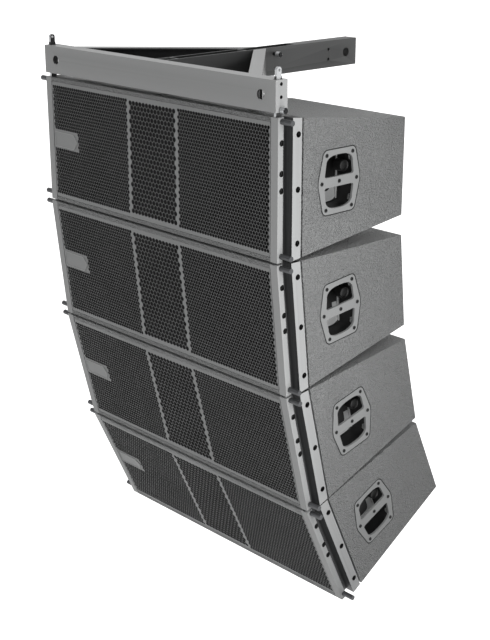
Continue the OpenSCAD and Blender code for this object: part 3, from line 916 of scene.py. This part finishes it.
    def gasket(self) -> Shape:
        """The rubber strip in the groove round the plate, which stands 0.15 proud of the panel.

        Its section is a rectangle, carried round the plate's outline.

        Returns:
            The strip, as (along, depth, up) about the handle.
        """
        inner, outer = self.plate_outline(0.15), self.plate_outline(2.3)
        deep, proud = 0.3, -0.15
        pts = np.concatenate([at_depth(inner, deep), at_depth(outer, deep), at_depth(outer, proud),
            at_depth(inner, proud)])
        n = len(inner)
        i, k = np.meshgrid(np.arange(4), np.arange(n), indexing="ij")
        i2, k2 = (i + 1) % 4, (k + 1) % n
        quads = np.stack([i * n + k, i * n + k2, i2 * n + k2, i2 * n + k], 2).reshape(-1, 4)
        return pts, quads.tolist()

    def handle_plate(self) -> Shape:
        """The cast face plate with its two openings and seven screw recesses.

        Returns:
            The plate, as (along, depth, up) about the handle.
        """
        plate = self.plate_outline()
        a = np.linspace(0, 2 * math.pi, 14, endpoint=False)
        recess = [np.stack([cy + 3.95 * np.cos(a), cz + 3.95 * np.sin(a)], 1)
            for cy, cz in ((-36.5, 54), (36.5, 54), (49.5, 0), (36.5, -54), (-36.5, -54), (-49, 0), (0, 0))]
        return cut_plate(plate, [self.opening(1), self.opening(-1), *recess], -0.5, 5.0)

    def cup(self) -> Shape:
        """The deep cup behind the plate: a bowl with its own thickness and a flat floor.

        Its rings are superellipses of power 5. The half-sizes shrink by 2.5 over the wall, and then by
        6 (1 - cos a) while the depth grows by 6 sin a, round a fillet of 6 to the floor.

        Returns:
            The cup, as (along, depth, up) about the handle.
        """
        def ring(half_y: float, half_z: float, depth: float) -> np.ndarray:
            """A superellipse at a depth."""
            return at_depth(superellipse((half_y, half_z), 5.0, 64), depth)

        draft, fillet, mouth, foot = 2.5, 6, 4.6, 37.6
        inner = [ring(42.5 - draft * t, 56 - draft * t, mouth + 33 * t) for t in np.linspace(0, 1, 6)]
        for a in np.linspace(0, math.pi / 2, 6)[1:]:
            less = fillet * (1 - math.cos(a))
            inner.append(ring(40 - less, 53.5 - less, foot + fillet * math.sin(a)))
        inner.append(ring(20, 30, 43.6))
        outer = [ring(45, 58.5, 4.6), ring(42.5, 56, 38), ring(36, 49, 46.5), ring(20, 30, 46.5)]
        return loft([*inner[::-1], *outer])

    def cup_rib(self) -> Shape:
        """The slim rib where the cup's floor meets its rear wall: an oval bar, 3.2 by 4.8.

        Returns:
            The rib, as (along, depth, up) about the handle.
        """
        a = np.linspace(0, 2 * math.pi, 16, endpoint=False)
        plan = np.stack([34.5 + 1.6 * np.cos(a), 41.5 + 2.4 * np.sin(a)], 1)
        return loft([np.column_stack([plan[:, 0], plan[:, 1], np.full(len(plan), h)]) for h in (-47, -20, 20, 47)])

    def boss(self) -> Shape:
        """The round-rimmed boss by the cup's rear wall, turned about the depth axis.

        Returns:
            The boss, as (along, depth, up) about the handle.
        """
        profile = np.array([(0.2, 4), (8.6, 4), (9.6, 0.8), (10.6, 0), (11.6, 0.8), (12, 2), (12, 20), (0.2, 20)])
        pts, faces = revolve(profile, 36)
        return np.column_stack([pts[:, 0] + 27, pts[:, 2] + 12, pts[:, 1] + 24]), faces

    def handles(self) -> None:
        """Both side handles: plate, cup, rib, boss and gasket."""
        shapes = self.handle_plate(), self.cup(), self.cup_rib(), self.boss(), self.gasket()
        for side, word in ((1, "right"), (-1, "left")):
            def set_in(pts: np.ndarray, sign: int = side) -> np.ndarray:
                """Turns (along, depth, up) into the cabinet's frame on one side."""
                return np.column_stack([sign * (self.panel_x - pts[:, 1]), pts[:, 0] + self.handle_y,
                    pts[:, 2] + self.mid_z])

            face, cup, rib, boss, gasket = ((set_in(pts), faces) for pts, faces in shapes)
            plate = self.fit(f"{word}_handle_plate", face, HANDLE_PAINT, 0.5)
            # painted shade on the cup's walls
            bowl = self.fit(f"{word}_handle_cup", cup, CUP_PAINTED_SHADE)
            # painted light on the floor below the grip bar
            paint_faces(bowl, CUP_FLOOR_PAINTED_LIGHT, self.on_cup_floor)
            # painted highlight on the rib
            self.fit(f"{word}_cup_rib", rib, CUP_FLOOR_PAINTED_LIGHT)
            # painted shade on the boss
            self.fit(f"{word}_cup_boss", boss, CUP_PAINTED_SHADE)
            self.fit(f"{word}_handle_gasket", gasket, RUBBER)
            if side > 0:
                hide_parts(f"{self.body}_handles")

    def on_cup_floor(self, centre: np.ndarray, normal: np.ndarray) -> np.ndarray:
        """Which of the cup's faces are the floor below the grip bar, which takes the painted light."""
        return (np.abs(normal[:, 0]) > 0.8) & (self.own(centre)[:, 2] < self.mid_z - 2)

    def in_channel(self, centre: np.ndarray, normal: np.ndarray) -> np.ndarray:
        """Which rail faces line the channel between the post and the rear flange."""
        p = self.own(centre)
        return (np.abs(p[:, 0]) > self.channel_x) & between(p[:, 1], *self.channel_y)

    def in_hole(self, centre: np.ndarray, normal: np.ndarray) -> np.ndarray:
        """Which rail faces are inside the bolt holes or the hollow behind the flange.

        Args:
            centre: N by 3 face centres.
            normal: N by 3 face normals.

        Returns:
            True for each face inside.
        """
        p = self.own(centre)
        p[:, 0] = np.abs(p[:, 0])
        flange, post = (
            np.all([between(p[:, axis], *span) for axis, span in enumerate(box)], 0)
            for box in (self.flange_hollow, self.post_holes))
        return flange | post

    def keep_own_place(self, obj: bpy.types.Object) -> None:
        """Stores each point's place in the cabinet's frame, in metres, for patterns that follow the rail.

        Args:
            obj: the piece.
        """
        own = self.own(points_of(obj.data)) * MM
        layer = obj.data.attributes.new("own", "FLOAT_VECTOR", "POINT")
        layer.data.foreach_set("vector", own.ravel().astype(np.float32))

    def build(self) -> None:
        """Builds and dresses every piece of the cabinet."""
        self.sheet()
        self.foam()
        self.badge()
        self.dress("enclosure", CABINET_PAINT, "textured_paint", 1.2)
        rails = self.dress("rails", RAIL_COAT, "rail_paint", 0.6)
        # painted shade and streaks of painted reflection where the rail lines the channel
        paint_faces(rails, PAINTED_CHANNEL_SHADE_AND_REFLECTION, self.in_channel)
        # painted shade inside the bolt holes and the hollow behind the flange
        paint_faces(rails, HOLE_PAINTED_SHADE, self.in_hole)
        self.keep_own_place(rails)
        self.dress("hinge_set", PIN_STEEL, "pin_steel", 0.5)
        self.handles()
        self.dress("screws", BLACK_OXIDE, "black_screw", 0.3)
        self.dress("rear_rigging", FRAME_COAT, "frame_paint", 0.5)
        tone_pin(self.dress("splay_pin", ZINC, "pin_steel", 0.4, f"{self.body}_splay_pin"))
        self.dress("input_plate", SOCKET_NYLON, "black_plate", 0.6)
        inside = {"baffle": BOARD, "woofers": BASKET_METAL, "cones": CONE_PAPER, "horn": HORN_PLASTIC}
        for part, finish in inside.items():
            keep_node(f"{self.body}_{part}", finish)


def tone_pin(pin: bpy.types.Object) -> None:
    """Darkens a quick-release pin's sleeve and button, and leaves its head bright.

    Args:
        pin: a pin that lies along X.
    """
    co = points_of(pin.data)
    sleeve = 0.66
    middle = (co.min(0) + co.max(0)) / 2
    radius = (co.max(0) - co.min(0))[1] / 2

    def dark(centre: np.ndarray, normal: np.ndarray) -> np.ndarray:
        """Everything nearer the axis than the sleeve's share of the head's radius."""
        return np.hypot(centre[:, 1] - middle[1], centre[:, 2] - middle[2]) < radius * sleeve

    paint_faces(pin, PIN_SLEEVE, dark)


def keep_node(node: str, finish: Finish) -> None:
    """Gives a CAD node that keeps its shape its finish.

    Args:
        node: the node's name.
        finish: what covers it.
    """
    mesh = frame["nodes"][node].data
    mesh.materials.clear()
    mesh.materials.append(finish.material())
    log.info("kept %s", node)


# ---------------------------------------------------------------- lifting frame


@dataclass
class LiftingFrame:
    """The welded frame that the cabinets hang from, and its quick-release pins."""

    body: str = "fly_frame"

    def in_beam(self, centre: np.ndarray, normal: np.ndarray) -> np.ndarray:
        """Which of the beam's faces look back into the frame, or line the holes and the hollow.

        Args:
            centre: N by 3 face centres.
            normal: N by 3 face normals.

        Returns:
            True for each such face.
        """
        low, high = centre.min(0), centre.max(0)
        skin = 0.001
        deep = between(centre[:, 1], low[1] + skin, high[1] - skin)
        upright = np.abs(normal[:, 2]) < 0.9
        inner = (np.abs(centre[:, 0]) < high[0] - 2 * skin) & (centre[:, 2] < high[2] - skin)
        return (inner & deep & upright) | (normal[:, 1] > 0.7)

    def build(self) -> None:
        """Builds every piece of the frame."""
        beam = dress("front_beam", self.body, FRAME_COAT, 1.0)
        # painted shade on the beam's inside, its back and its holes
        paint_faces(beam, FRAME_PAINTED_SHADE, self.in_beam)
        # the spine's dark colour is painted shade
        dress("spine", self.body, SPINE_PAINTED_SHADE, 0.8)
        arms = dress("diagonal_arms", self.body, FRAME_COAT, 0.8)
        # painted shade on the arms' flanks
        paint_faces(arms, FRAME_PAINTED_SHADE, lambda c, n: np.abs(n[:, 2]) < 0.5)
        bars = dress("link_bars", self.body, ZINC, 0.5)
        box = np.array([tuple(c) for c in beam.bound_box])
        # painted shade on the link bars where they pass the beam
        paint_faces(bars, FRAME_PAINTED_SHADE, lambda c, n: between(c[:, 2], box[:, 2].min(), box[:, 2].max()))
        dress("frame_blade", self.body, ZINC, 0.5)
        for pin in ("left_frame_pin", "right_frame_pin", "spine_pin"):
            tone_pin(dress(pin, pin, ZINC, 0.4))


# ---------------------------------------------------------------- studio


@dataclass
class Studio:
    """A pale floor, soft light and the camera.

    Attributes:
        eye: the camera's place, in metres.
        azimuth: its heading in degrees, left of straight back.
        pitch: how far it looks down, in degrees.
        roll: its turn about its own axis, in degrees.
        lens_mm: its focal length on a sensor 36 mm wide.
        floor_gap: the floor's distance below the array, in metres.
        floor_half: half the floor's width, in metres.
        floor_glow: the floor's own light.
        sky_base: the mean level of the light from all round.
        sky_slope: how it grows towards X, Y and Z.
        sky_least: the least light from any side.
        key_place: the tall lamp's place, in metres.
        key_size: its width and height.
        key_watts: its output.
        aim_y: Y of the point that it faces.
    """

    eye: tuple[float, float, float] = (2.0723, -2.2362, 0.3844)
    azimuth: float = 46.97
    pitch: float = 18.87
    roll: float = -0.063
    lens_mm: float = 73.2
    floor_gap: float = 0.35
    floor_half: float = 400.0
    floor_glow: float = 0.9
    sky_base: float = 0.41
    sky_slope: tuple[float, float, float] = (-0.25, 0.12, 0.36)
    sky_least: float = 0.02
    key_place: tuple[float, float, float] = (0.87, -0.6, -0.3)
    key_size: tuple[float, float] = (0.25, 1.3)
    key_watts: float = 4.5
    aim_y: float = -0.4

    def camera(self) -> None:
        """Sets the camera by its place, its heading and how far it looks down."""
        data = bpy.data.cameras.new("camera")
        data.lens, data.sensor_width, data.sensor_fit = self.lens_mm, 36.0, "AUTO"
        cam = bpy.data.objects.new("camera", data)
        bpy.context.scene.collection.objects.link(cam)
        az, pitch = math.radians(self.azimuth), math.radians(self.pitch)
        look = Vector((-math.sin(az) * math.cos(pitch), math.cos(az) * math.cos(pitch), -math.sin(pitch)))
        turn = look.to_track_quat("-Z", "Y").to_matrix() @ Matrix.Rotation(math.radians(self.roll), 3, "Z")
        cam.matrix_world = Matrix.Translation(self.eye) @ turn.to_4x4()
        bpy.context.scene.camera = cam

    def lamp(self) -> None:
        """Adds the tall soft lamp, close on the right, that shades the side panels from front to back."""
        data = bpy.data.lights.new("key", "AREA")
        data.shape = "RECTANGLE"
        data.size, data.size_y, data.energy = *self.key_size, self.key_watts
        lamp = bpy.data.objects.new("key", data)
        lamp.visible_camera = False
        bpy.context.scene.collection.objects.link(lamp)
        place = self.key_place
        aim = Vector((0, self.aim_y, place[2])) - Vector(place)
        lamp.matrix_world = Matrix.Translation(place) @ aim.to_track_quat("-Z", "Y").to_matrix().to_4x4()

    def sky(self) -> None:
        """Lights the set from all round: brightness = base + slope . direction, and never under the least.

        The slope points left, back and mostly up, so the right and the underside get the least light.
        """
        world = bpy.data.worlds.new("studio")
        world.use_nodes = True
        tree = world.node_tree
        way = add_node(tree, "ShaderNodeTexCoord").outputs["Generated"]
        lean = add_node(tree, "ShaderNodeVectorMath", {0: way, 1: self.sky_slope}, operation="DOT_PRODUCT")
        level = add_node(tree, "ShaderNodeMath", {0: lean.outputs["Value"], 1: self.sky_base}, operation="ADD")
        lit = add_node(tree, "ShaderNodeMath", {0: level.outputs[0], 1: self.sky_least}, operation="MAXIMUM")
        background = tree.nodes["Background"]
        background.inputs["Color"].default_value = (1, 1, 1, 1)
        tree.links.new(lit.outputs[0], background.inputs["Strength"])
        bpy.context.scene.world = world

    def build(self) -> None:
        """Sets the floor, the light and the camera."""
        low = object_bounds()[0][2] - self.floor_gap
        mesh = bpy.data.meshes.new("floor")
        half = self.floor_half
        mesh.from_pydata([(x * half, y * half, low) for x, y in ((-1, -1), (1, -1), (1, 1), (-1, 1))],
            [], [(0, 1, 2, 3)])
        paint = Finish("pale_floor", "#f6f6f6", "#f2f2f2", 0.8, Grain.SPECKLE, 4.0, 0.05).material()
        shader = next(n for n in paint.node_tree.nodes if n.type == "BSDF_PRINCIPLED")
        shader.inputs["Emission Color"].default_value = (1, 1, 1, 1)
        shader.inputs["Emission Strength"].default_value = self.floor_glow
        mesh.materials.append(paint)
        floor = bpy.data.objects.new("floor", mesh)
        floor.visible_diffuse = False
        bpy.context.scene.collection.objects.link(floor)
        floor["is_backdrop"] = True
        self.sky()
        bpy.context.scene.view_settings.view_transform = "Standard"
        self.lamp()
        self.camera()
        log.info("set the floor, the light and the camera")


def main() -> None:
    """Builds the array from the frame down, then the studio."""
    logging.basicConfig(level=logging.INFO, format="%(message)s")
    LiftingFrame().build()
    count = sum(joint["name"].endswith("_splay") for joint in frame["joints"])
    for number in range(1, count + 1):
        Cabinet(number).build()
    Studio().build()


def corners(box: Sequence[Sequence[float]]) -> list[list[float]]:
    """A box's two corners as plain lists of numbers."""
    return [[float(v) for v in corner] for corner in box]


if __name__ == "__main__":
    cad_box = corners(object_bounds())
    main()
    {"cad": cad_box, "visual": corners(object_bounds())}
